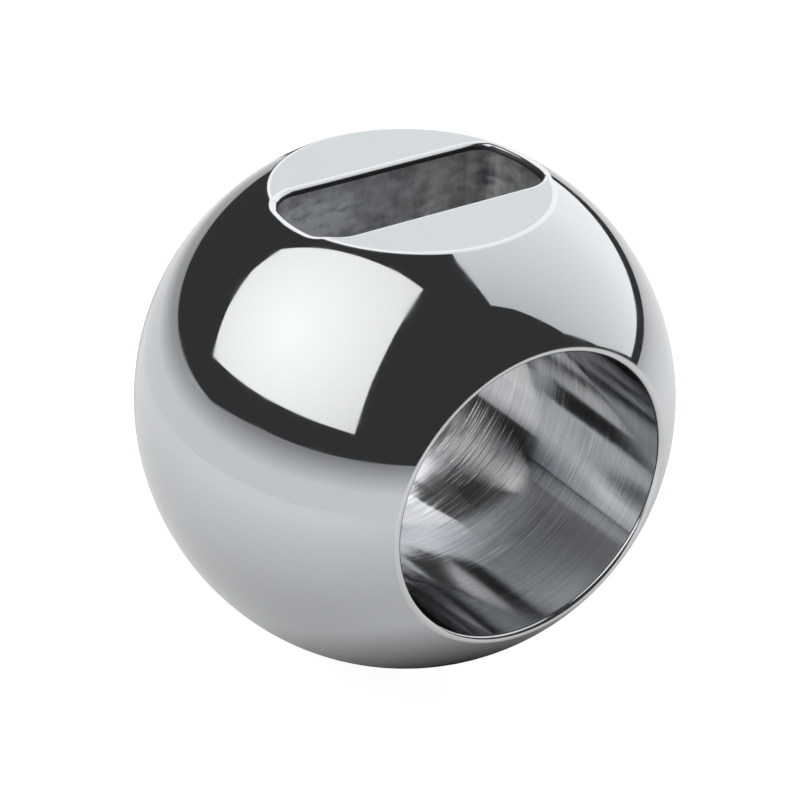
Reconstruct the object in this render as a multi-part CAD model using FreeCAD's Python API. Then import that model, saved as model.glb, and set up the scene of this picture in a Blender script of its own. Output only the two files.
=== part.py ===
"""Valve ball: the floating ball of a quarter-turn ball valve, made from one piece of stainless steel.

It is made in the real order of work: turned and bored about X, ground flat about Z, then slotted.
Frame: the origin is the centre of the sealing sphere, +X runs along the bore, +Z is the stem axis and
the stem slot runs along Y. All lengths are in millimetres.
"""
import FreeCAD, Part
import math
import os

# Sealing sphere
BALL_DIAMETER = 45.0

# Full bore along X, with the rounding lapped on both of its mouths
BORE_DIAMETER = 25.0
MOUTH_ROUND = 0.4

# Ground flat under the stem, measured down from the crown of the sphere
FLAT_DROP = 3.15
FLAT_RIM_ROUND = 0.6

# Slot for the stem's tang: the rounding of its ends breaks through the rim of the flat
SLOT_WIDTH = 8.8
SLOT_LENGTH = 22.3
SLOT_CORNER_RADIUS = 2.7
SLOT_FLOOR_RADIUS = 0.5
SLOT_EDGE_ROUND = 0.55

# Metal left between the slot's floor and the crown of the bore
WEB = 1.05

# How near an edge has to lie to a surface to count as lying on it
ON_SURFACE = 0.001

# Share of a wall that a rounding may take up when the wall gets short
ROUNDING_LIMIT = 0.45

ball_radius = BALL_DIAMETER / 2
bore_radius = BORE_DIAMETER / 2
flat_height = ball_radius - FLAT_DROP
slot_floor_height = bore_radius + WEB
slot_depth = flat_height - slot_floor_height
slot_end_radius = SLOT_LENGTH / 2

CENTRE = FreeCAD.Vector(0, 0, 0)
BORE_AXIS = FreeCAD.Vector(1, 0, 0)
STEM_AXIS = FreeCAD.Vector(0, 0, 1)


def straight(start, end):
    """Draws a straight edge."""
    return Part.LineSegment(start, end).toShape()


def rounding(centre, start, end):
    """Draws the short arc about a centre from one place that it touches to the other."""
    radius = (start - centre).Length
    bulge = (start - centre).normalize() + (end - centre).normalize()
    return Part.Arc(start, centre + bulge.normalize() * radius, end).toShape()


def touch_on_sphere(centre):
    """Finds where a rounding inside the sphere touches it: straight out from the ball's centre."""
    return FreeCAD.Vector(centre).normalize() * ball_radius


def turned_ball():
    """Turns the ball about the bore: one section of bore wall, two rounded mouths and the sphere."""
    radial = bore_radius + MOUTH_ROUND
    along = math.sqrt((ball_radius - MOUTH_ROUND) ** 2 - radial**2)
    left = FreeCAD.Vector(-along, radial, 0)
    right = FreeCAD.Vector(along, radial, 0)
    wall_left = FreeCAD.Vector(-along, bore_radius, 0)
    wall_right = FreeCAD.Vector(along, bore_radius, 0)
    crown = FreeCAD.Vector(0, ball_radius, 0)
    section = Part.Wire([
        straight(wall_left, wall_right),
        rounding(right, wall_right, touch_on_sphere(right)),
        Part.Arc(touch_on_sphere(right), crown, touch_on_sphere(left)).toShape(),
        rounding(left, touch_on_sphere(left), wall_left),
    ])
    return Part.Face(section).revolve(CENTRE, BORE_AXIS, 360)


def flat_tool():
    """Makes the metal that is ground away over the flat, down to the rounding of its rim."""
    height = flat_height - FLAT_RIM_ROUND
    radial = math.sqrt((ball_radius - FLAT_RIM_ROUND) ** 2 - height**2)
    centre = FreeCAD.Vector(radial, 0, height)
    middle = STEM_AXIS * flat_height
    rim_start = FreeCAD.Vector(radial, 0, flat_height)
    rim_end = touch_on_sphere(centre)
    outside = rim_end + FreeCAD.Vector(rim_end.z, 0, -rim_end.x).normalize() * FLAT_DROP
    above = FreeCAD.Vector(outside.x, 0, ball_radius + FLAT_DROP)
    top = STEM_AXIS * above.z
    section = Part.Wire([
        straight(middle, rim_start),
        rounding(centre, rim_start, rim_end),
        straight(rim_end, outside),
        straight(outside, above),
        straight(above, top),
        straight(top, middle),
    ])
    return Part.Face(section).revolve(CENTRE, STEM_AXIS, 360)


def upright_edges(body):
    """Lists the edges of a body that run straight up."""
    found = []
    for edge in body.Edges:
        rise = edge.Vertexes[-1].Point - edge.Vertexes[0].Point
        if rise.cross(STEM_AXIS).Length < ON_SURFACE < rise.Length:
            found.append(edge)
    return found


def slot_tool():
    """Makes the plug of metal that the slot takes out: parallel sides, arched ends, round corners."""
    height = ball_radius - slot_floor_height
    corner = FreeCAD.Vector(-SLOT_WIDTH / 2, -ball_radius, slot_floor_height)
    strip = Part.makeBox(SLOT_WIDTH, 2 * ball_radius, height, corner)
    disc = Part.makeCylinder(slot_end_radius, height, STEM_AXIS * slot_floor_height)
    plug = strip.common(disc)
    plug = plug.makeFillet(SLOT_CORNER_RADIUS, upright_edges(plug))
    floor_edges = [edge for edge in plug.Edges if abs(edge.BoundBox.ZMax - slot_floor_height) < ON_SURFACE]
    return plug.makeFillet(min(SLOT_FLOOR_RADIUS, ROUNDING_LIMIT * slot_depth), floor_edges)


def edges_on_both(body, first, second):
    """Lists the edges of a body that lie on the skins of two other solids, ends and middle."""
    found = []
    skins = first.Shells[0], second.Shells[0]
    for edge in body.Edges:
        if edge.Degenerated:
            continue
        step = (edge.LastParameter - edge.FirstParameter) / 4
        marks = [Part.Vertex(edge.valueAt(edge.FirstParameter + count * step)) for count in range(5)]
        if all(mark.distToShape(skin)[0] < ON_SURFACE for mark in marks for skin in skins):
            found.append(edge)
    return found


def slotted(body):
    """Mills the stem slot, and rounds the edge that it leaves on the flat and on the sphere."""
    tool = slot_tool()
    milled = body.cut(tool)
    edge_round = min(SLOT_EDGE_ROUND, ROUNDING_LIMIT * slot_depth)
    return milled.makeFillet(edge_round, edges_on_both(milled, body, tool))


def valve_ball():
    """Makes the finished ball as one solid."""
    ground = turned_ball().cut(flat_tool())
    return slotted(ground).Solids[0]


def main():
    """Builds the ball, reports it and writes its STEP file."""
    os.makedirs("parts", exist_ok=True)
    ball = valve_ball()
    print(f"valve_ball: valid {ball.isValid()}, {ball.Volume:.1f} mm3, {len(ball.Faces)} faces")
    print(f"  flat {flat_height:.2f} above the centre, slot {slot_depth:.2f} deep")
    ball.exportStep("parts/valve_ball.step")


main()
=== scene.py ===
"""Looks of the valve ball: its true skin, the finish of each machined surface, and a small photo studio.

The ball's frame: origin at the centre of the sealing sphere, +X along the bore, +Y along the stem slot
and +Z out of the ground flat. Lengths are in metres and angles in radians, unless a docstring gives
others. A shape or a mark of the ball itself is always given in millimetres.
"""
import enum
import logging
import math
from dataclasses import dataclass, field
from typing import Any, Optional, Union

import bpy
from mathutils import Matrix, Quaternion, Vector


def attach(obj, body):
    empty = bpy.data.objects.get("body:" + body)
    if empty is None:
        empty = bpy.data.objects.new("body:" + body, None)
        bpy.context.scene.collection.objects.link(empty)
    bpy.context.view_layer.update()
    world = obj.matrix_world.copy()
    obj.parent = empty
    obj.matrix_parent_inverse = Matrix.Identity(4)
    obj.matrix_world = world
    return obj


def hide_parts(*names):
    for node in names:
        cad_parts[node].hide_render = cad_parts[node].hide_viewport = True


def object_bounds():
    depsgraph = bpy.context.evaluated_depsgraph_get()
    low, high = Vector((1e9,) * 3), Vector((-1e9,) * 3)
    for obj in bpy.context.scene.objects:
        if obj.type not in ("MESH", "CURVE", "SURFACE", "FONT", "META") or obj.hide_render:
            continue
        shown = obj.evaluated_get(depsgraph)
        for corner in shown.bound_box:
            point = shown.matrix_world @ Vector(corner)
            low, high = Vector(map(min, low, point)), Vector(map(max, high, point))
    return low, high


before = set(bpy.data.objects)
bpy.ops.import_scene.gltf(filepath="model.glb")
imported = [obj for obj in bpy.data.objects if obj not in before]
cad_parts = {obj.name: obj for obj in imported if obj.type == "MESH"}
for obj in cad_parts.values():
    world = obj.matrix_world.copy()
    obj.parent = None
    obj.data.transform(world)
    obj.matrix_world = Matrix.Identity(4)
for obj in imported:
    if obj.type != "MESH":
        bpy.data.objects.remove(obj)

CAD_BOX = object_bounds()
MM = 0.001
LOG = logging.getLogger("valve_ball")


class Zone(enum.Enum):
    """The surfaces of the ball, each left by a machining step of its own."""

    SPHERE = "sphere"
    EDGE = "edge"
    FLAT = "flat"
    LIP = "lip"
    SLOT = "slot"
    BORE = "bore"


def linear(colour: str) -> tuple[float, float, float, float]:
    """Turns an sRGB hex colour into the linear values that the shaders read.

    Args:
        colour: Six hex digits after a hash sign.

    Returns:
        Linear red, green and blue, and full opacity.
    """
    parts = [int(colour[start:start + 2], 16) / 255 for start in (1, 3, 5)]
    red, green, blue = [
        part / 12.92 if part <= 0.04045 else ((part + 0.055) / 1.055) ** 2.4 for part in parts]
    return red, green, blue, 1.0


def add_node(tree: bpy.types.NodeTree, kind: str, settings: Optional[dict[str, Any]] = None,
             links: Optional[dict[Union[int, str], Any]] = None) -> bpy.types.Node:
    """Adds a node to a tree, with its settings and what feeds its sockets.

    Args:
        tree: The node tree that gets the node.
        kind: The node's type name.
        settings: Attributes to set on the node before its sockets are filled.
        links: Socket name or number, and the output socket or plain value that feeds it.

    Returns:
        The new node.
    """
    node = tree.nodes.new(kind)
    for name, value in (settings or {}).items():
        setattr(node, name, value)
    for key, source in (links or {}).items():
        socket = node.inputs[key]
        if isinstance(source, Field):
            source = source.socket
        if isinstance(source, bpy.types.NodeSocket):
            tree.links.new(source, socket)
        else:
            socket.default_value = source
    return node


@dataclass(frozen=True)
class Field:
    """A number or a vector that a node tree works out, with the usual arithmetic."""

    tree: bpy.types.NodeTree
    socket: bpy.types.NodeSocket

    def maths(self, operation: str, *others: Union["Field", float], clamp: bool = False) -> "Field":
        """Adds a Math node that starts with this field.

        Args:
            operation: The Math node's operation.
            others: The second and third operand, where the operation has them.
            clamp: Whether the result is held between 0 and 1.

        Returns:
            The field of the result.
        """
        links = dict(enumerate((self, *others)))
        node = add_node(self.tree, "ShaderNodeMath", {"operation": operation, "use_clamp": clamp}, links)
        return Field(self.tree, node.outputs[0])

    def __add__(self, other: Union["Field", float]) -> "Field":
        """Adds."""
        return self.maths("ADD", other)

    def __sub__(self, other: Union["Field", float]) -> "Field":
        """Subtracts."""
        return self.maths("SUBTRACT", other)

    def __mul__(self, other: Union["Field", float]) -> "Field":
        """Multiplies."""
        return self.maths("MULTIPLY", other)

    def __truediv__(self, other: Union["Field", float]) -> "Field":
        """Divides."""
        return self.maths("DIVIDE", other)

    def __neg__(self) -> "Field":
        """Turns the sign."""
        return self.maths("MULTIPLY", -1.0)

    def sin(self) -> "Field":
        """Takes the sine."""
        return self.maths("SINE")

    def cos(self) -> "Field":
        """Takes the cosine."""
        return self.maths("COSINE")

    def root(self) -> "Field":
        """Takes the square root."""
        return self.maths("SQRT")

    def held(self) -> "Field":
        """Holds the field between 0 and 1."""
        return self.maths("ADD", 0.0, clamp=True)

    def share(self, start: float, end: float) -> "Field":
        """Gives how far this field has come from start to end, held between 0 and 1."""
        return ((self - start) / (end - start)).held()

    def towards(self, other: Union["Field", float], amount: "Field") -> "Field":
        """Blends from this field to another one or to a number."""
        return self + (-self + other) * amount


@dataclass(frozen=True)
class Place:
    """A point of the ball's skin and the way that the skin faces there, as fields."""

    x: Field
    y: Field
    z: Field
    facing_x: Field
    facing_y: Field
    facing_z: Field


@dataclass
class BallSizes:
    """The ball's sizes in millimetres, as they are machined."""

    ball_radius: float = 22.5
    bore_radius: float = 12.5
    mouth_round: float = 0.4
    flat_height: float = 19.35
    rim_round: float = 0.8
    slot_half_width: float = 4.4
    slot_end_radius: float = 11.15
    slot_corner_radius: float = 2.7
    slot_floor_height: float = 13.55
    slot_floor_round: float = 0.5
    slot_edge_round: float = 0.55
    skirt_radius: float = 12.6


@dataclass
class BallMesh:
    """Builds one quarter of the ball's skin as a node tree and mirrors it about the bore and the slot.

    Every strip of the skin is a grid. Its u runs along the slot's outline or round the bore, its v
    runs across the strip, and the strips share the places where they meet. side_end and corner_end
    are where the slot's straight side and its round corner end along u, and lip_share is the part of
    the slot's rounded edge that is coloured dark as painted shade. Places nearer than the seam become
    one. The tree works in millimetres, up to its last step.
    """

    sizes: BallSizes = field(default_factory=BallSizes)
    columns: int = 201
    columns_below: int = 91
    sphere_rows: int = 25
    mouth_rows: int = 11
    bore_rows: int = 9
    side_end: float = 0.2
    corner_end: float = 0.75
    lip_share: float = 0.38
    seam: float = 0.0015
    normal_name: str = "true_normal"
    zone_name: str = "zone"

    def build(self, materials: dict[Zone, bpy.types.Material]) -> bpy.types.Object:
        """Makes the ball's skin as a plain mesh.

        Args:
            materials: The finish of each zone.

        Returns:
            The finished object, with its place in its mesh.
        """
        tree = bpy.data.node_groups.new("turned ball", "GeometryNodeTree")
        tree.interface.new_socket("Geometry", in_out="OUTPUT", socket_type="NodeSocketGeometry")
        self.tree = tree
        self.inputs = {}
        self.group_in = add_node(tree, "NodeGroupInput")
        # Each size is an input of the tree, and a field of the same name for the methods that follow
        for name, value in vars(self.sizes).items():
            socket = tree.interface.new_socket(name.replace("_", " ").capitalize(), in_out="INPUT",
                                               socket_type="NodeSocketFloat")
            socket.default_value = value
            self.inputs[socket.identifier] = value
            setattr(self, name, Field(tree, self.group_in.outputs[socket.name]))
        self.draw_guides()
        quarter = self.join(self.strips(list(materials)))
        half = self.join([quarter, self.mirrored(quarter, (-1.0, 1.0, 1.0))])
        whole = self.join([half, self.mirrored(half, (1.0, -1.0, 1.0))])
        sized = add_node(tree, "GeometryNodeTransform", links={"Geometry": whole, "Scale": (MM, MM, MM)})
        real = add_node(tree, "GeometryNodeRealizeInstances", links={0: sized.outputs[0]})
        made = add_node(tree, "GeometryNodeSetShadeSmooth", links={"Geometry": real.outputs[0]})
        zone = add_node(tree, "GeometryNodeInputNamedAttribute", {"data_type": "INT"}, {
            "Name": self.zone_name})
        for number, material in enumerate(materials.values()):
            chosen = True
            if number:
                chosen = Field(tree, zone.outputs["Attribute"]).maths("GREATER_THAN", number - 0.5)
            made = add_node(tree, "GeometryNodeSetMaterial", links={
                "Geometry": made.outputs[0], "Selection": chosen, "Material": material})
        add_node(tree, "NodeGroupOutput", links={0: made.outputs[0]})
        return self.bake(tree)

    def draw_guides(self) -> None:
        """Works out the fields that the strips share: the slot's outline and the ball's own circles."""
        tree = self.tree
        spot = add_node(tree, "GeometryNodeInputPosition")
        place = add_node(tree, "ShaderNodeSeparateXYZ", links={0: spot.outputs[0]})
        self.u = -Field(tree, place.outputs[0]) + 0.5
        self.v = Field(tree, place.outputs[1]) + 0.5
        ball, rim = self.ball_radius, self.rim_round

        # The rounding of the flat's rim turns about this circle, and touches the sphere at rim_slope
        self.rim_height = self.flat_height - rim
        self.rim_radius = ((ball - rim) * (ball - rim) - self.rim_height * self.rim_height).root()
        self.rim_sine = self.rim_radius / (ball - rim)

        # The outline of the slot: straight side, round corner, arched end
        corner_across = self.slot_half_width - self.slot_corner_radius
        corner_reach = self.slot_end_radius - self.slot_corner_radius
        corner_along = (corner_reach * corner_reach - corner_across * corner_across).root()
        corner_turn = corner_along.maths("ARCTAN2", corner_across)
        side = self.u.share(0.0, self.side_end)
        corner = self.u.share(self.side_end, self.corner_end)
        end = self.u.share(self.corner_end, 1.0)
        end_angle = corner_turn.towards(math.pi / 2, end)
        bend = corner_turn * corner
        facing = bend + end_angle - corner_turn
        self.out_x, self.out_y = facing.cos(), facing.sin()
        radius = self.slot_corner_radius
        reach = self.slot_end_radius
        self.wall_x = (corner_across + radius * bend.cos()
                       + reach * (end_angle.cos() - corner_turn.cos()))
        self.wall_y = (corner_along * side + radius * bend.sin()
                       + reach * (end_angle.sin() - corner_turn.sin()))

        # The rounding along the slot's edge: a small ball rolls along the wall, under flat and sphere
        rolling = self.slot_edge_round
        self.edge_x = self.wall_x + rolling * self.out_x
        self.edge_y = self.wall_y + rolling * self.out_y
        edge_radius = (self.edge_x * self.edge_x + self.edge_y * self.edge_y).root()
        self.edge_z, slope = self.crown(edge_radius, rolling)
        self.top_x = slope * self.edge_x / edge_radius
        self.top_y = slope * self.edge_y / edge_radius
        self.top_z = (-(slope * slope) + 1.0).root()
        brink_x = self.edge_x + rolling * self.top_x
        brink_y = self.edge_y + rolling * self.top_y
        self.brink = (brink_x * brink_x + brink_y * brink_y).root()
        self.ray_x, self.ray_y = brink_x / self.brink, brink_y / self.brink

        # Where the skirt about the flat meets the rest of the sphere, seen from the bore's axis
        self.skirt_height = (ball * ball - self.skirt_radius * self.skirt_radius).root()
        self.skirt_turn = (self.skirt_radius * self.ray_y).maths("ARCTAN2", self.skirt_height)
        self.skirt_rise = (self.skirt_radius * self.ray_x / ball).maths("ARCSINE")
        below = self.skirt_radius.maths("ARCTAN2", self.skirt_height)
        self.below_turn = below.towards(math.pi, self.u)
        self.mouth_radial = self.bore_radius + self.mouth_round
        inner = ball - self.mouth_round
        self.mouth_along = (inner * inner - self.mouth_radial * self.mouth_radial).root()
        self.mouth_rise = self.mouth_along.maths("ARCTAN2", self.mouth_radial)

    def crown(self, radius: Field, depth: Union[Field, float]) -> tuple[Field, Field]:
        """Follows the crown of the ball from the flat over its rounded rim down the sphere.

        Args:
            radius: Distance from the stem axis.
            depth: How far under the skin the crown is followed.

        Returns:
            The height there, and the sine of the skin's slope.
        """
        rim = self.rim_round - depth
        sphere = self.ball_radius - depth
        rim_end = self.rim_radius + rim * self.rim_sine
        over_rim = (radius - self.rim_radius).maths("MAXIMUM", 0.0).maths("MINIMUM", rim * self.rim_sine)
        on_sphere = radius.maths("MAXIMUM", rim_end)
        rim_height = self.rim_height + (rim * rim - over_rim * over_rim).root()
        drop = ((sphere * sphere - rim_end * rim_end).root()
                - (sphere * sphere - on_sphere * on_sphere).root())
        return rim_height - drop, over_rim / rim + (on_sphere - rim_end) / sphere

    def strips(self, order: list[Zone]) -> list[bpy.types.NodeSocket]:
        """Lists the quarter's strips, from the middle of the slot's floor to the middle of the bore.

        Args:
            order: The zones, in the order of their numbers.

        Returns:
            The mesh of each strip.
        """
        across, below = self.columns, self.columns_below
        # Each strip of the crown: what gives its places, its rows and its zone
        crown = [
            (self.slot_floor, 5, Zone.SLOT),
            (self.slot_floor_rounding, 6, Zone.SLOT),
            (self.slot_wall, 5, Zone.SLOT),
            (lambda: self.slot_edge(0.0, self.lip_share), 7, Zone.LIP),
            (lambda: self.slot_edge(self.lip_share, 1.0), 8, Zone.EDGE),
            (self.flat, 5, Zone.FLAT),
            (self.rim, 7, Zone.EDGE),
            (self.skirt, 5, Zone.SPHERE),
        ]
        made = [self.strip(place(), across, rows, order.index(zone)) for place, rows, zone in crown]
        sides = ((across, self.skirt_turn, self.skirt_rise), (below, self.below_turn, None))
        for columns, turn, start in sides:
            made.append(self.strip(
                self.sphere(turn, start), columns, self.sphere_rows, order.index(Zone.SPHERE)))
            made.append(self.strip(self.mouth(turn), columns, self.mouth_rows, order.index(Zone.EDGE)))
            made.append(self.strip(self.bore(turn), columns, self.bore_rows, order.index(Zone.BORE)))
        return made

    def slot_floor(self) -> Place:
        """Gives the flat floor of the slot, from its middle out to its rounding.

        Returns:
            The strip's places.
        """
        inset = self.slot_floor_round
        x = (self.wall_x - inset * self.out_x) * self.v
        y = (self.wall_y - inset * self.out_y) * self.v
        nothing = self.v * 0.0
        return Place(x, y, self.slot_floor_height + nothing, nothing, nothing, nothing + 1.0)

    def slot_floor_rounding(self) -> Place:
        """Gives the rounding that the end mill leaves between floor and wall.

        Returns:
            The strip's places.
        """
        turn = self.v * (math.pi / 2)
        inset = self.slot_floor_round
        level, upright = turn.sin(), turn.cos()
        x = self.wall_x + inset * self.out_x * (level - 1.0)
        y = self.wall_y + inset * self.out_y * (level - 1.0)
        z = self.slot_floor_height + inset - inset * upright
        return Place(x, y, z, -(level * self.out_x), -(level * self.out_y), upright)

    def slot_wall(self) -> Place:
        """Gives the upright wall of the slot, up to where its edge starts to round.

        Returns:
            The strip's places.
        """
        low = self.slot_floor_height + self.slot_floor_round
        z = low.towards(self.edge_z, self.v)
        return Place(self.wall_x, self.wall_y, z, -self.out_x, -self.out_y, self.v * 0.0)

    def slot_edge(self, start: float, end: float) -> Place:
        """Gives a part of the slot's rounded edge, from its wall over to the flat or the sphere.

        Args:
            start: Where the part starts, as a share of the rounding.
            end: Where it ends.

        Returns:
            The strip's places.
        """
        between = (-(self.out_x * self.top_x + self.out_y * self.top_y)).maths("ARCCOSINE")
        whole = between.sin()
        turned = self.v * (end - start) + start
        wall_part = (between * (-turned + 1.0)).sin() / whole
        top_part = (between * turned).sin() / whole
        facing_x = top_part * self.top_x - wall_part * self.out_x
        facing_y = top_part * self.top_y - wall_part * self.out_y
        facing_z = top_part * self.top_z
        radius = self.slot_edge_round
        return Place(self.edge_x + radius * facing_x, self.edge_y + radius * facing_y,
                     self.edge_z + radius * facing_z, facing_x, facing_y, facing_z)

    def crown_place(self, radius: Field) -> Place:
        """Gives the place on the ball's crown at a distance from the stem axis.

        Args:
            radius: Distance from the stem axis.

        Returns:
            The place there.
        """
        height, slope = self.crown(radius, 0.0)
        upright = (-(slope * slope) + 1.0).root()
        return Place(radius * self.ray_x, radius * self.ray_y, height,
                     slope * self.ray_x, slope * self.ray_y, upright)

    def flat(self) -> Place:
        """Gives the ground flat, from the slot's edge out to its rim."""
        outer = self.brink.maths("MAXIMUM", self.rim_radius)
        return self.crown_place(self.brink.towards(outer, self.v))

    def rim(self) -> Place:
        """Gives the rounded rim of the flat, broken where the slot runs through it."""
        turn = self.rim_sine.maths("ARCSINE") * self.v
        return self.crown_place(self.brink.maths("MAXIMUM", self.rim_radius + self.rim_round * turn.sin()))

    def skirt(self) -> Place:
        """Gives the ring of the sphere about the flat."""
        inner = self.brink.maths("MAXIMUM", self.rim_radius + self.rim_round * self.rim_sine)
        return self.crown_place(inner.towards(self.skirt_radius, self.v))

    def sphere(self, turn: Field, start: Optional[Field]) -> Place:
        """Gives the sphere between a start and the mouth of the bore.

        Args:
            turn: Angle about the bore, from the stem axis.
            start: Angle above the middle plane where the strip starts, or None for that plane.

        Returns:
            The strip's places.
        """
        rise = self.mouth_rise * self.v if start is None else start.towards(self.mouth_rise, self.v)
        facing = rise.sin(), rise.cos() * turn.sin(), rise.cos() * turn.cos()
        return Place(*[part * self.ball_radius for part in facing], *facing)

    def mouth(self, turn: Field) -> Place:
        """Gives the rounded mouth of the bore, from the sphere over to the bore's wall.

        Args:
            turn: Angle about the bore, from the stem axis.

        Returns:
            The strip's places.
        """
        start = -self.mouth_rise + math.pi / 2
        tip = start.towards(-math.pi / 2, self.v)
        along, radial = tip.cos(), tip.sin()
        ring = self.mouth_radial + self.mouth_round * radial
        return Place(self.mouth_along + self.mouth_round * along, ring * turn.sin(), ring * turn.cos(),
                     along, radial * turn.sin(), radial * turn.cos())

    def bore(self, turn: Field) -> Place:
        """Gives the bore's wall, from its mouth to the middle of the ball."""
        x = self.mouth_along * (-self.v + 1.0)
        return Place(x, self.bore_radius * turn.sin(), self.bore_radius * turn.cos(),
                     self.v * 0.0, -turn.sin(), -turn.cos())

    def strip(self, place: Place, columns: int, rows: int, zone: int) -> bpy.types.NodeSocket:
        """Lays a grid on a strip of the skin.

        Args:
            place: Where the grid's places go.
            columns: How many places lie along the strip.
            rows: How many places lie across it.
            zone: The number of the strip's zone.

        Returns:
            The strip's mesh.
        """
        tree = self.tree
        grid = add_node(tree, "GeometryNodeMeshGrid", links={
            "Size X": 1.0, "Size Y": 1.0, "Vertices X": columns, "Vertices Y": rows})
        facing = add_node(tree, "ShaderNodeCombineXYZ", links={
            0: place.facing_x, 1: place.facing_y, 2: place.facing_z})
        spot = add_node(tree, "ShaderNodeCombineXYZ", links={0: place.x, 1: place.y, 2: place.z})
        kept = add_node(tree, "GeometryNodeStoreNamedAttribute", {
            "data_type": "FLOAT_VECTOR", "domain": "POINT"}, {
            "Geometry": grid.outputs["Mesh"], "Name": self.normal_name, "Value": facing.outputs[0]})
        moved = add_node(tree, "GeometryNodeSetPosition", links={
            "Geometry": kept.outputs[0], "Position": spot.outputs[0]})
        numbered = add_node(tree, "GeometryNodeStoreNamedAttribute", {
            "data_type": "INT", "domain": "FACE"}, {
            "Geometry": moved.outputs[0], "Name": self.zone_name, "Value": zone})
        return numbered.outputs[0]

    def join(self, meshes: list[bpy.types.NodeSocket]) -> bpy.types.NodeSocket:
        """Joins meshes and closes the seams between them.

        Args:
            meshes: The meshes to join.

        Returns:
            One mesh.
        """
        together = add_node(self.tree, "GeometryNodeJoinGeometry")
        for mesh in reversed(meshes):
            self.tree.links.new(mesh, together.inputs[0])
        closed = add_node(self.tree, "GeometryNodeMergeByDistance", links={
            "Geometry": together.outputs[0], "Distance": self.seam})
        return closed.outputs[0]

    def mirrored(self, mesh: bpy.types.NodeSocket,
                 signs: tuple[float, float, float]) -> bpy.types.NodeSocket:
        """Mirrors a mesh, with its faces and its stored normals turned the right way.

        Args:
            mesh: The mesh to mirror.
            signs: Minus one for the axis that is mirrored.

        Returns:
            The mirrored mesh.
        """
        tree = self.tree
        turned = add_node(tree, "GeometryNodeTransform", links={"Geometry": mesh, "Scale": signs})
        flipped = add_node(tree, "GeometryNodeFlipFaces", links={"Mesh": turned.outputs[0]})
        normal = add_node(tree, "GeometryNodeInputNamedAttribute", {"data_type": "FLOAT_VECTOR"}, {
            "Name": self.normal_name})
        product = add_node(tree, "ShaderNodeVectorMath", {"operation": "MULTIPLY"}, {
            0: normal.outputs["Attribute"], 1: signs})
        kept = add_node(tree, "GeometryNodeStoreNamedAttribute", {
            "data_type": "FLOAT_VECTOR", "domain": "POINT"}, {
            "Geometry": flipped.outputs[0], "Name": self.normal_name, "Value": product.outputs[0]})
        return kept.outputs[0]

    def bake(self, tree: bpy.types.NodeTree) -> bpy.types.Object:
        """Runs the tree and keeps its result as a plain mesh with the skin's true normals.

        Args:
            tree: The finished node tree.

        Returns:
            The baked object.
        """
        holder = bpy.data.objects.new("ball_maker", bpy.data.meshes.new("ball_maker"))
        bpy.context.scene.collection.objects.link(holder)
        modifier = holder.modifiers.new("turned ball", "NODES")
        modifier.node_group = tree
        for identifier, value in self.inputs.items():
            modifier[identifier] = value
        graph = bpy.context.evaluated_depsgraph_get()
        mesh = bpy.data.meshes.new_from_object(holder.evaluated_get(graph), depsgraph=graph)
        bpy.data.objects.remove(holder)
        self.drop_empty_slots(mesh)
        normals = [Vector(item.vector).normalized() for item in mesh.attributes[self.normal_name].data]
        for name in (self.normal_name, self.zone_name):
            mesh.attributes.remove(mesh.attributes[name])
        mesh.name = "ball"
        mesh.normals_split_custom_set_from_vertices(normals)
        ball = bpy.data.objects.new("ball", mesh)
        bpy.context.scene.collection.objects.link(ball)
        return ball

    def drop_empty_slots(self, mesh: bpy.types.Mesh) -> None:
        """Takes out the material slots with nothing in them, which the grids bring along.

        Args:
            mesh: The mesh to clean.
        """
        slots = list(mesh.materials)
        kept = [material for material in slots if material]
        numbers = [kept.index(slots[face.material_index]) for face in mesh.polygons]
        mesh.materials.clear()
        for material in kept:
            mesh.materials.append(material)
        mesh.polygons.foreach_set("material_index", numbers)


def empty_material(name: str) -> bpy.types.Material:
    """Makes a material with an empty node tree.

    Args:
        name: The material's name.

    Returns:
        The material.
    """
    material = bpy.data.materials.new(name)
    material.use_nodes = True
    material.node_tree.nodes.clear()
    return material


@dataclass(frozen=True)
class Surface:
    """What marks are laid on: a node tree, the object's coordinates in metres, and the shader."""

    tree: bpy.types.NodeTree
    place: bpy.types.NodeSocket
    shader: Optional[bpy.types.Node] = None

    def feed(self, name: str, source: Union[Field, bpy.types.NodeSocket]) -> None:
        """Feeds a socket of the shader."""
        socket = source.socket if isinstance(source, Field) else source
        self.tree.links.new(socket, self.shader.inputs[name])


@dataclass(frozen=True)
class Grain:
    """Marks of a real size in millimetres; with limits they come out as sharper spots."""

    size: tuple[float, float, float]
    detail: float = 2.0
    stirred: float = 0.0
    limits: Optional[tuple[float, float]] = None

    def lay(self, on: Surface) -> Field:
        """Lays the marks over a surface.

        Args:
            on: The surface.

        Returns:
            How strong the marks are, about 0.5 on average, or from 0 to 1 between the limits.
        """
        scale = tuple(1 / (length * MM) for length in self.size)
        mapped = add_node(on.tree, "ShaderNodeMapping", links={"Vector": on.place, "Scale": scale})
        node = add_node(on.tree, "ShaderNodeTexNoise", links={
            "Vector": mapped.outputs[0], "Scale": 1.0, "Detail": self.detail, "Distortion": self.stirred})
        marks = Field(on.tree, node.outputs[0])
        return marks.share(*self.limits) if self.limits else marks


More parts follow.
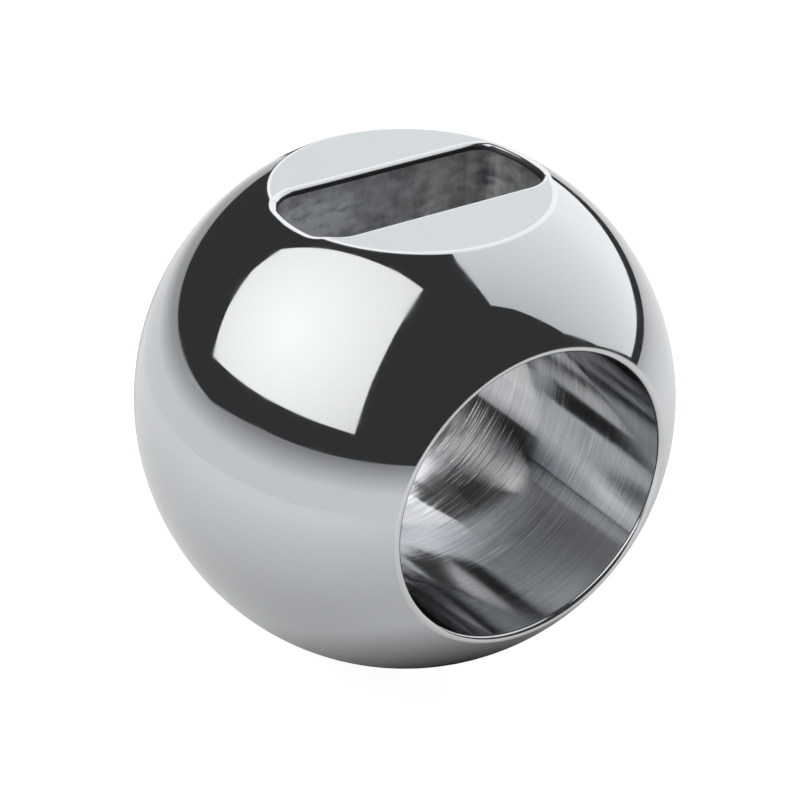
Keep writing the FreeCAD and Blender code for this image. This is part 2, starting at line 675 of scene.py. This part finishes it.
@dataclass(frozen=True)
class Patch:
    """A soft patch of a real size, in millimetres, turned about the upright by some degrees."""

    middle: tuple[float, float, float]
    size: tuple[float, float, float]
    turn: float = 0.0
    core: float = 0.3

    def lay(self, on: Surface) -> Field:
        """Lays the patch over a surface.

        Args:
            on: The surface.

        Returns:
            1 in the patch's core, falling to 0 at its edge.
        """
        about = add_node(on.tree, "ShaderNodeMapping", {"vector_type": "TEXTURE"}, {
            "Vector": on.place, "Location": tuple(length * MM for length in self.middle),
            "Scale": tuple(length * MM for length in self.size),
            "Rotation": (0.0, 0.0, math.radians(self.turn))})
        away = add_node(on.tree, "ShaderNodeVectorMath", {"operation": "LENGTH"}, {0: about.outputs[0]})
        return Field(on.tree, away.outputs["Value"]).share(1.0, self.core)


class Finish:
    """A finish of the metal: a Principled metal and the marks that its machining leaves."""

    name: str
    colour: str
    roughness: float

    def material(self) -> bpy.types.Material:
        """Makes the finish.

        Returns:
            The material.
        """
        material = empty_material(self.name)
        tree = material.node_tree
        shader = add_node(tree, "ShaderNodeBsdfPrincipled", links={
            "Base Color": linear(self.colour), "Metallic": 1.0, "Roughness": self.roughness})
        add_node(tree, "ShaderNodeOutputMaterial", links={"Surface": shader.outputs[0]})
        place = add_node(tree, "ShaderNodeTexCoord").outputs["Object"]
        self.mark(Surface(tree, place, shader))
        return material

    def mark(self, on: Surface) -> None:
        """Adds the finish's marks; without any the metal stays even."""


class GrainedFinish(Finish):
    """A finish whose grain makes the metal rougher in places."""

    grain: Grain
    grain_roughness: float

    def mark(self, on: Surface) -> None:
        """Adds the grain."""
        rough = self.grain.lay(on) * self.grain_roughness + self.roughness
        on.feed("Roughness", rough)


@dataclass(frozen=True)
class LappedSphere(GrainedFinish):
    """Lapped and buffed stainless steel: a near mirror, with a breath of haze and a slight swell."""

    name: str = "lapped_stainless_steel"
    colour: str = "#CED2D6"
    roughness: float = 0.03
    grain: Grain = Grain((2.5, 2.5, 2.5), 4.0, 0.4, (0.4, 0.75))
    grain_roughness: float = 0.05
    swell: Grain = Grain((7.0, 7.0, 7.0), 1.0)
    swell_depth: float = 0.012

    def mark(self, on: Surface) -> None:
        """Adds the haze that polishing leaves, and the swell that bends the edges of reflections.

        Args:
            on: The surface.
        """
        super().mark(on)
        relief = add_node(on.tree, "ShaderNodeBump", links={
            "Strength": 1.0, "Distance": self.swell_depth * MM, "Height": self.swell.lay(on)})
        on.feed("Normal", relief.outputs[0])


@dataclass(frozen=True)
class BrokenEdge(GrainedFinish):
    """Edges broken by hand and buffed with the sphere: thin lines that catch the light, a little uneven."""

    name: str = "buffed_steel_edge"
    colour: str = "#DADDDF"
    roughness: float = 0.09
    grain: Grain = Grain((0.6, 0.6, 0.6), 2.0)
    grain_roughness: float = 0.1


@dataclass(frozen=True)
class GroundFlat(GrainedFinish):
    """Finely surface-ground steel: an even pale grey with a soft sheen and faint lines along X."""

    name: str = "surface_ground_steel"
    colour: str = "#C8CDD0"
    roughness: float = 0.32
    # A wheel's lines are about 0.03 mm apart; they are drawn four times coarser, so that they can be seen
    grain: Grain = Grain((14.0, 0.12, 14.0), 1.0)
    grain_roughness: float = 0.12


@dataclass(frozen=True)
class PaintedShadeLip(GrainedFinish):
    """The lower part of the slot's rounded edge, coloured dark as painted shade along the slot's mouth, with
    the upright strokes of the end mill.
    """

    name: str = "painted_shade_lip_steel"
    # Painted shade: this dark colour draws a dark line along the slot's mouth
    colour: str = "#53565A"
    roughness: float = 0.35
    grain: Grain = Grain((0.3, 0.3, 3.0), 2.0)
    grain_roughness: float = 0.2


@dataclass(frozen=True)
class MilledSlot(Finish):
    """End-milled steel: the cutter's strokes leave a mottled grey; two brighter patches are painted light,
    and a darker corner is painted shade.

    The tone runs from the dark colour at 0 to the bright one at 1.
    """

    name: str = "end_milled_steel"
    colour: str = "#66696D"
    bright_colour: str = "#F2F4F6"
    roughness: float = 0.3
    strokes: Grain = Grain((0.35, 0.35, 4.0), 3.0)
    blotches: Grain = Grain((1.6, 1.6, 0.9), 4.0, 0.3, (0.34, 0.66))
    # Painted light: two patches of the far wall are coloured brighter
    painted_light_patches: tuple[Patch, ...] = (
        Patch((-4.4, -6.0, 15.6), (4.0, 4.6, 3.3), core=0.0),
        Patch((-4.4, 5.0, 14.2), (2.0, 1.3, 1.2), core=0.0))
    # Painted shade: the corner by the slot's end is coloured darker
    painted_shade_corner: Patch = Patch((-3.5, 10.3, 16.6), (1.6, 1.1, 6.0), core=0.3)
    base_tone: float = 0.22
    blotch_tone: float = 0.42
    stroke_tone: float = 0.25
    painted_light_tone: float = 0.2
    painted_light_mottling: float = 0.9
    painted_shade_corner_tone: float = 0.35
    blotch_roughness: float = 0.16
    relief_depth: float = 0.02
    stroke_height: float = 0.6
    blotch_height: float = 0.3

    def mark(self, on: Surface) -> None:
        """Adds the mottling, the two patches of painted light, the corner of painted shade and the upright
        strokes of the cutter.

        Args:
            on: The surface.
        """
        strokes = self.strokes.lay(on)
        blotches = self.blotches.lay(on)
        tone = blotches * self.blotch_tone + strokes * self.stroke_tone + self.base_tone
        # Painted light in two patches of the wall, then painted shade in its corner
        for patch in self.painted_light_patches:
            tone = tone + patch.lay(on) * (blotches * self.painted_light_mottling + self.painted_light_tone)
        tone = tone - self.painted_shade_corner.lay(on) * self.painted_shade_corner_tone
        tint = add_node(on.tree, "ShaderNodeMix", {"data_type": "RGBA"}, {
            "Factor": tone.held(), 6: linear(self.colour), 7: linear(self.bright_colour)})
        on.feed("Base Color", tint.outputs[2])
        rough = blotches * self.blotch_roughness + self.roughness
        on.feed("Roughness", rough)
        relief = add_node(on.tree, "ShaderNodeBump", links={
            "Strength": 1.0, "Distance": self.relief_depth * MM,
            "Height": strokes * self.stroke_height + blotches * self.blotch_height})
        on.feed("Normal", relief.outputs[0])


@dataclass(frozen=True)
class BoredWall(Finish):
    """Bored steel: fine rings run round the wall, so that reflections smear along the bore.

    The tone runs from the dark colour at 0 to the bright one at 1. The wall is worn in one patch, which is
    rougher and more scratched, and also darker as a painted dark reflection; two more patches are only
    darker, as painted dark reflections; and the wall is duller towards both mouths.
    """

    name: str = "bored_stainless_steel"
    colour: str = "#7C8085"
    bright_colour: str = "#F2F4F6"
    roughness: float = 0.045
    anisotropy: float = 0.9
    # The real feed is under 0.1 mm a turn; the rings are drawn coarser, so that they can be seen
    rings: Grain = Grain((0.16, 7.0, 7.0), 2.0)
    ring_limits: tuple[float, float] = (0.3, 0.7)
    scratches: Grain = Grain((0.2, 6.0, 6.0), 3.0, limits=(0.55, 0.66))
    grooves: Grain = Grain((0.23, 5.0, 5.0), 2.0, limits=(0.55, 0.68))
    wear: Grain = Grain((4.0, 5.0, 5.0), 1.0, limits=(0.45, 0.65))
    waves: Grain = Grain((1.6, 30.0, 30.0), 1.0)
    # The worn patch is real wear that is also darker as a painted dark reflection; the next two are painted
    # dark reflections
    rubbed: Patch = Patch((-2.5, 9.0, -8.7), (7.0, 4.2, 4.2), core=0.5)
    stained: Patch = Patch((4.0, 10.5, -6.8), (10.0, 2.4, 2.4), core=0.1)
    stained_low: Patch = Patch((9.5, 4.8, -11.4), (8.5, 5.5, 4.0), core=0.3)
    dull_reach: tuple[float, float] = (7.0, 15.0)
    wear_share: float = 0.25
    least_wear: float = 0.06
    base_tone: float = 0.38
    ring_tone: float = 0.16
    scratch_tone: float = 0.8
    groove_tone: float = 0.5
    worn_painted_dark_tone: float = 0.16
    painted_dark_stripe_tone: float = 0.5
    painted_dark_low_tone: float = 0.3
    relief_depth: float = 0.006
    ring_height: float = 0.14
    scratch_height: float = 0.8
    wave_height: float = 0.6
    scratch_roughness: float = 0.12
    ring_roughness: float = 0.05
    rubbed_roughness: float = 0.06
    dull_roughness: float = 0.04

    def mark(self, on: Surface) -> None:
        """Adds the rings that the boring bar leaves, the scratches of the swarf, the worn patch and the
        patches of painted dark reflection.

        Args:
            on: The surface.
        """
        on.shader.inputs["Anisotropic"].default_value = self.anisotropy
        along = add_node(on.tree, "ShaderNodeCombineXYZ", links={0: 1.0})
        on.feed("Tangent", along.outputs[0])
        rings = self.rings.lay(on)
        rubbed = self.rubbed.lay(on)
        wear = self.wear.lay(on) * self.wear_share + rubbed + self.least_wear
        scratches = self.scratches.lay(on) * wear
        grooves = self.grooves.lay(on) * wear
        tone = rings.share(*self.ring_limits) * self.ring_tone + scratches * self.scratch_tone
        # Painted dark reflections: the worn patch and the two patches after it lower the tone
        tone = tone - grooves * self.groove_tone - rubbed * self.worn_painted_dark_tone
        tone = tone - self.stained.lay(on) * self.painted_dark_stripe_tone
        tone = tone - self.stained_low.lay(on) * self.painted_dark_low_tone + self.base_tone
        tint = add_node(on.tree, "ShaderNodeMix", {"data_type": "RGBA"}, {
            "Factor": tone.held(), 6: linear(self.colour), 7: linear(self.bright_colour)})
        on.feed("Base Color", tint.outputs[2])
        relief = rings * self.ring_height + scratches * self.scratch_height
        bumps = add_node(on.tree, "ShaderNodeBump", links={
            "Strength": 1.0, "Distance": self.relief_depth * MM,
            "Height": relief + self.waves.lay(on) * self.wave_height})
        on.feed("Normal", bumps.outputs[0])
        x = add_node(on.tree, "ShaderNodeSeparateXYZ", links={0: on.place}).outputs[0]
        dull = Field(on.tree, x).maths("ABSOLUTE").share(*[reach * MM for reach in self.dull_reach])
        rough = scratches * self.scratch_roughness + rings * self.ring_roughness
        rough = rough + rubbed * self.rubbed_roughness + dull * self.dull_roughness + self.roughness
        on.feed("Roughness", rough)


def direction(azimuth: float, elevation: float) -> Vector:
    """Gives the unit vector towards an azimuth and an elevation in degrees."""
    turn, rise = math.radians(azimuth), math.radians(elevation)
    return Vector((math.cos(rise) * math.cos(turn), math.cos(rise) * math.sin(turn), math.sin(rise)))


def stage_mesh(name: str, corners: list[Vector], faces: list[tuple[int, ...]],
               material: bpy.types.Material) -> bpy.types.Object:
    """Makes an object of the studio, which isn't part of the ball.

    Args:
        name: The object's name.
        corners: Where its corners are, in metres.
        faces: The numbers of each face's corners.
        material: What its faces are made of.

    Returns:
        The object.
    """
    mesh = bpy.data.meshes.new(name)
    mesh.from_pydata([tuple(corner) for corner in corners], [], faces)
    mesh.materials.append(material)
    made = bpy.data.objects.new(name, mesh)
    bpy.context.scene.collection.objects.link(made)
    LOG.info("%s: %d corners", name, len(corners))
    return made


def show_in_mirrors_only(made: bpy.types.Object) -> bpy.types.Object:
    """Hides an object from the camera, from soft light and from shadows.

    Args:
        made: The object.

    Returns:
        The same object.
    """
    made.visible_camera = False
    made.visible_diffuse = False
    made.visible_shadow = False
    return made


class FallOff(enum.Enum):
    """How a glowing surface gets dimmer: straight along a line, or round a bright spot."""

    STRAIGHT = "DOT_PRODUCT"
    ROUND = "DISTANCE"


def glow(name: str, bright: float, dim: Optional[float] = None, start: Vector = Vector(),
         end: Vector = Vector((0, 0, 1)), fall_off: FallOff = FallOff.STRAIGHT,
         tint: str = "#FFFFFF") -> bpy.types.Material:
    """Makes a plain surface that gives off light of its own.

    Args:
        name: The material's name.
        bright: Radiance at the start, where 1 is white.
        dim: Radiance at the end, or None where it is the same all over.
        start: Place where the light starts to fall off, in metres.
        end: Place where it has fallen off.
        fall_off: Whether it falls off along a line or about its start.
        tint: Colour of the light.

    Returns:
        The material.
    """
    material = empty_material(name)
    tree = material.node_tree
    light = add_node(tree, "ShaderNodeEmission", links={"Color": linear(tint), "Strength": bright})
    add_node(tree, "ShaderNodeOutputMaterial", links={"Surface": light.outputs[0]})
    if dim is not None:
        place = add_node(tree, "ShaderNodeTexCoord").outputs["Object"]
        along = (end - start).normalized()
        limits, other = (start.dot(along), end.dot(along)), along
        if fall_off is FallOff.ROUND:
            limits, other = (0.0, (end - start).length), start
        reached = add_node(tree, "ShaderNodeVectorMath", {"operation": fall_off.value}, {
            0: place, 1: tuple(other)})
        part = Field(tree, reached.outputs["Value"]).share(*limits)
        tree.links.new((part * (dim - bright) + bright).socket, light.inputs["Strength"])
    return material


@dataclass
class Softbox:
    """A softbox with a soft fall-off; its corners are azimuths and elevations in degrees from the ball."""

    name: str
    corners: tuple[tuple[float, float], ...]
    bright: float
    dim: float
    bright_side: tuple[float, float]
    dim_side: tuple[float, float]
    fall_off: FallOff = FallOff.STRAIGHT
    tint: str = "#FFFFFF"
    reach: float = 1.2

    def build(self) -> bpy.types.Object:
        """Makes the softbox as a flat card.

        Returns:
            The card, which only reflections and light see.
        """
        ways = [direction(*corner) for corner in self.corners]
        middle = sum(ways, Vector()).normalized()
        places = [way * (self.reach / way.dot(middle)) for way in ways]
        start, end = [way * (self.reach / way.dot(middle)) for way in (
            direction(*self.bright_side), direction(*self.dim_side))]
        card = stage_mesh(self.name, places, [tuple(range(len(places)))],
                          glow(self.name, self.bright, self.dim, start, end, self.fall_off, self.tint))
        card.visible_camera = False
        return card


@dataclass
class PaintedHorizonRim:
    """A glowing band round the table, in front and on the left, brighter at its foot and seen only in
    reflections: a painted reflection of the horizon.

    The tops give an azimuth in degrees and a height, and all heights are in millimetres.
    """

    distance: float = 0.088
    tops: tuple[tuple[float, float], ...] = (
        (-222, -21.0), (-205, -12.0), (-188, 3.4), (-160, 3.8), (-134, 3.8), (-115, 5.8), (-100, 8.8),
        (-88, 10.3), (-60, 9.8), (-28, 8.8), (-5, 0.0), (15, -21.0))
    bright: float = 0.84
    dim: float = 0.32
    bright_height: float = -7.5
    dim_height: float = 8.5

    def build(self, table_height: float) -> bpy.types.Object:
        """Makes the rim, which only reflections see.

        Args:
            table_height: Height of the table's top.

        Returns:
            The rim.
        """
        corners = []
        for azimuth, top in self.tops:
            out = direction(azimuth, 0.0) * self.distance
            corners += [Vector((out.x, out.y, table_height)), Vector((out.x, out.y, top * MM))]
        faces = [(low, low + 2, low + 3, low + 1) for low in range(0, len(corners) - 2, 2)]
        heights = [Vector((0, 0, height * MM)) for height in (self.bright_height, self.dim_height)]
        # Painted reflection: the band gives off light of its own, brighter at its foot
        light = glow("painted_horizon_rim", self.bright, self.dim, *heights)
        return show_in_mirrors_only(stage_mesh("painted_horizon_rim", corners, faces, light))


@dataclass
class PaintedReflectionSlip:
    """An upright card behind the far mouth, hidden by the ball, that gives off light of its own: a painted
    reflection that only the bore's wall shows.

    The corners give Y and Z, behind is its X, and the bright and the dim side are Y, in millimetres.
    """

    name: str
    corners: tuple[tuple[float, float], ...]
    bright: float
    dim: float
    behind: float = -22.7
    bright_side: float = 4.0
    dim_side: float = -6.0

    def build(self) -> bpy.types.Object:
        """Makes the slip.

        Returns:
            The slip, which only reflections see.
        """
        places = [Vector((self.behind, y, z)) * MM for y, z in self.corners]
        ends = [Vector((self.behind, y, 0.0)) * MM for y in (self.bright_side, self.dim_side)]
        light = glow(self.name, self.bright, self.dim, *ends)
        return show_in_mirrors_only(stage_mesh(self.name, places, [tuple(range(len(places)))], light))


@dataclass
class Studio:
    """A table under two softboxes in a dark room.

    near_paper and far_paper are distances in metres between which the table gets dimmer, towards the
    ball and away from it. The lifts are the light of its own that the camera and the mirrors see on it.
    """

    table_height: float = CAD_BOX[0][2]
    table_corners: tuple[tuple[float, float], ...] = (
        (0.45, 0.85), (0.15, 0.47), (-0.063, 0.311), (-0.139, 0.235), (-0.42, 0.42), (-1.4, 1.0),
        (-1.4, -1.6), (1.6, -1.6), (1.6, 0.85))
    # Painted shadows of the ball on the table: a soft one behind it, and a dark one where it touches
    shade: Patch = Patch((-68.0, 32.0, 0.0), (72.0, 38.0, 1000.0), 152.0, core=0.45)
    contact: Patch = Patch((7.0, 1.0, 0.0), (18.3, 18.3, 1000.0), core=0.12)
    near_paper: tuple[float, float] = (0.075, 0.035)
    far_paper: tuple[float, float] = (0.08, 0.3)
    near_loss: float = 0.6
    camera_lift: float = 0.75
    mirrored_lift: float = 0.2
    paper_roughness: float = 0.45
    room_radius: float = 6.0
    room_radiance: float = 0.045
    # Radiance of the dark card of painted reflection
    dark_reflection_radiance: float = 0.09
    ambient: float = 0.12

    def build(self) -> None:
        """Makes the table, the dark room, the glowing cards of painted reflection, the softboxes and the
        world.
        """
        self.table()
        self.room()
        self.world()
        PaintedHorizonRim().build(self.table_height)
        self.slips()
        self.softboxes()

    def slips(self) -> None:
        """Makes the painted reflections in the bore's wall: a white card, a dark one and a small low one."""
        PaintedReflectionSlip("white_painted_reflection", (
            (10.0, 4.0), (10.0, 7.5), (7.4, 7.9), (6.2, 7.5), (5.6, 7.1), (5.0, 7.6), (4.2, 8.0), (0.0, 8.0),
            (-3.0, 6.9), (-6.5, 5.4), (-6.5, 3.4), (0.0, 4.8), (4.0, 4.6)), 1.9, 0.7).build()
        PaintedReflectionSlip("dark_painted_reflection", (
            (7.9, 7.9), (7.4, 8.0), (6.2, 7.6), (5.6, 7.2), (5.0, 7.7), (4.2, 8.1), (0.8, 8.1), (0.8, 17.2),
            (5.5, 17.2), (6.8, 16.2), (7.5, 13.6), (8.3, 10.5)), self.dark_reflection_radiance, self.dark_reflection_radiance).build()
        PaintedReflectionSlip("low_painted_reflection", (
            (-5.0, -7.5), (-5.6, -7.4), (-6.4, -6.2), (-7.0, -4.8), (-7.3, -3.4), (-6.7, -3.2), (-6.3, -4.4),
            (-5.9, -5.5), (-5.3, -6.7)), 1.2, 0.7, bright_side=-5.5, dim_side=-7.2).build()

    def softboxes(self) -> None:
        """Makes the near softbox, on the left of the photograph, and the far one, on its right."""
        Softbox("softbox_near", (
            (-150.3, 42.7), (-142.3, 61.0), (-118.3, 76.5), (-54.0, 81.0), (-14.1, 74.1), (-43.8, 53.4),
            (-51.0, 34.5), (-54.8, 13.1), (-96.0, 13.5), (-128.3, 10.0), (-137.6, 22.0), (-145.7, 32.7),
        ), 1.54, 1.0, (-104.0, 39.0), (-64.0, 3.0), FallOff.ROUND, "#FFFDF9").build()
        Softbox("softbox_far", (
            (31.7, 55.3), (41.1, 48.0), (47.6, 38.5), (53.0, 28.0), (64.4, 14.3), (78.9, -0.4), (98.0, -1.3),
            (120.0, -1.5), (146.0, -0.4), (158.0, 8.0), (166.0, 24.0), (171.0, 38.0), (184.0, 40.0),
            (185.0, 52.0), (168.0, 66.0), (73.3, 75.3), (54.0, 73.0), (42.0, 67.5), (35.5, 61.3),
        ), 1.22, 0.56, (108.0, 16.0), (42.0, 26.0)).build()

    def table(self) -> bpy.types.Object:
        """Makes the pale table, with a shadow painted behind the ball and a contact shadow painted under it,
        and dimmer far off; what the camera sees of it is lifted to white.

        Returns:
            The table.
        """
        material = empty_material("pale_table")
        tree = material.node_tree
        place = add_node(tree, "ShaderNodeTexCoord").outputs["Object"]
        length = add_node(tree, "ShaderNodeVectorMath", {"operation": "LENGTH"}, {0: place})
        away = Field(tree, length.outputs["Value"])
        far, near = away.share(*self.far_paper), away.share(*self.near_paper)
        paper = Surface(tree, place)
        shade, contact = self.shade.lay(paper), self.contact.lay(paper)
        # Painted light and shade in the table's colour: dimmer far off, the painted shadow behind the ball
        # and the painted contact shadow under it
        tone = linear("#F2F2F2")
        for part, colour in ((far, "#D8D8D8"), (shade, "#A8A8A8"), (contact, "#202020")):
            mix = add_node(tree, "ShaderNodeMix", {"data_type": "RGBA"}, {
                "Factor": part, 6: tone, 7: linear(colour)})
            tone = mix.outputs[2]
        shader = add_node(tree, "ShaderNodeBsdfPrincipled", links={
            "Base Color": tone, "Roughness": self.paper_roughness})
        path = add_node(tree, "ShaderNodeLightPath")
        mirrored = Field(tree, path.outputs["Is Glossy Ray"]).maths(
            "MAXIMUM", Field(tree, path.outputs["Is Transmission Ray"]))
        # The lift that the mirrors see is painted light: it fades far off, near the ball and in both painted
        # shadows
        lit = (-far + 1.0) * (-shade + 1.0) * (-contact + 1.0) * (near * -self.near_loss + 1.0)
        camera = Field(tree, path.outputs["Is Camera Ray"])
        seen = camera * (shade.maths("MAXIMUM", contact) * (1.0 - self.camera_lift) + self.camera_lift)
        lift = add_node(tree, "ShaderNodeEmission", links={
            "Color": linear("#FFFFFF"), "Strength": seen + mirrored * lit * self.mirrored_lift})
        both = add_node(tree, "ShaderNodeAddShader", links={0: shader.outputs[0], 1: lift.outputs[0]})
        add_node(tree, "ShaderNodeOutputMaterial", links={"Surface": both.outputs[0]})
        corners = [Vector((x, y, self.table_height)) for x, y in self.table_corners]
        return stage_mesh("table", corners, [tuple(range(len(corners)))], material)

    def room(self) -> bpy.types.Object:
        """Makes the dark room, which only reflections see.

        Returns:
            The room.
        """
        corners = [Vector((x, y, z)) * self.room_radius for x in (-1, 1) for y in (-1, 1) for z in (-1, 1)]
        faces = [(0, 1, 3, 2), (4, 6, 7, 5), (0, 4, 5, 1), (2, 3, 7, 6), (0, 2, 6, 4), (1, 5, 7, 3)]
        drapes = glow("dark_drapes", self.room_radiance)
        return show_in_mirrors_only(stage_mesh("dark_room", corners, faces, drapes))

    def world(self) -> None:
        """Makes the world: white where the camera or a reflection sees it, and a little soft light."""
        world = bpy.data.worlds.new("studio")
        world.use_nodes = True
        tree = world.node_tree
        tree.nodes.clear()
        path = add_node(tree, "ShaderNodeLightPath")
        names = "Is Camera Ray", "Is Glossy Ray", "Is Transmission Ray"
        camera, glossy, through = [Field(tree, path.outputs[name]) for name in names]
        seen = camera.maths("MAXIMUM", glossy).maths("MAXIMUM", through)
        light = add_node(tree, "ShaderNodeBackground", links={
            "Color": linear("#FFFFFF"), "Strength": seen.maths("MAXIMUM", self.ambient)})
        add_node(tree, "ShaderNodeOutputWorld", links={"Surface": light.outputs[0]})
        bpy.context.scene.world = world


@dataclass
class PhotoCamera:
    """The camera, where the photograph was taken from: places and lens in millimetres, roll in degrees."""

    eye: tuple[float, float, float] = (160.0737, -110.7107, 112.2554)
    aim: tuple[float, float, float] = (-0.146, -0.377, -0.185)
    roll: float = 1.776
    lens: float = 121.265
    sensor: float = 36.0

    def build(self) -> bpy.types.Object:
        """Makes the camera and gives it to the scene.

        Returns:
            The camera.
        """
        data = bpy.data.cameras.new("photo_camera")
        data.sensor_width = self.sensor
        data.lens = self.lens
        camera = bpy.data.objects.new("photo_camera", data)
        bpy.context.scene.collection.objects.link(camera)
        eye = Vector(self.eye) * MM
        back = eye - Vector(self.aim) * MM
        camera.rotation_mode = "QUATERNION"
        turn = back.to_track_quat("Z", "Y")
        camera.rotation_quaternion = turn @ Quaternion((0, 0, 1), math.radians(self.roll))
        camera.location = eye
        bpy.context.scene.camera = camera
        return camera


def main() -> None:
    """Builds the ball, its studio and the camera, and writes how large the model comes out."""
    logging.basicConfig(level=logging.INFO, format="%(message)s")
    bpy.context.scene.view_settings.view_transform = "Standard"
    PhotoCamera().build()
    Studio().build()
    finishes = {
        Zone.SPHERE: LappedSphere(),
        Zone.EDGE: BrokenEdge(),
        Zone.FLAT: GroundFlat(),
        Zone.LIP: PaintedShadeLip(),
        Zone.SLOT: MilledSlot(),
        Zone.BORE: BoredWall(),
    }
    ball = BallMesh().build({zone: finish.material() for zone, finish in finishes.items()})
    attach(ball, "root")
    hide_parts("valve_ball")
    LOG.info("ball: %d faces", len(ball.data.polygons))


if __name__ == "__main__":
    main()
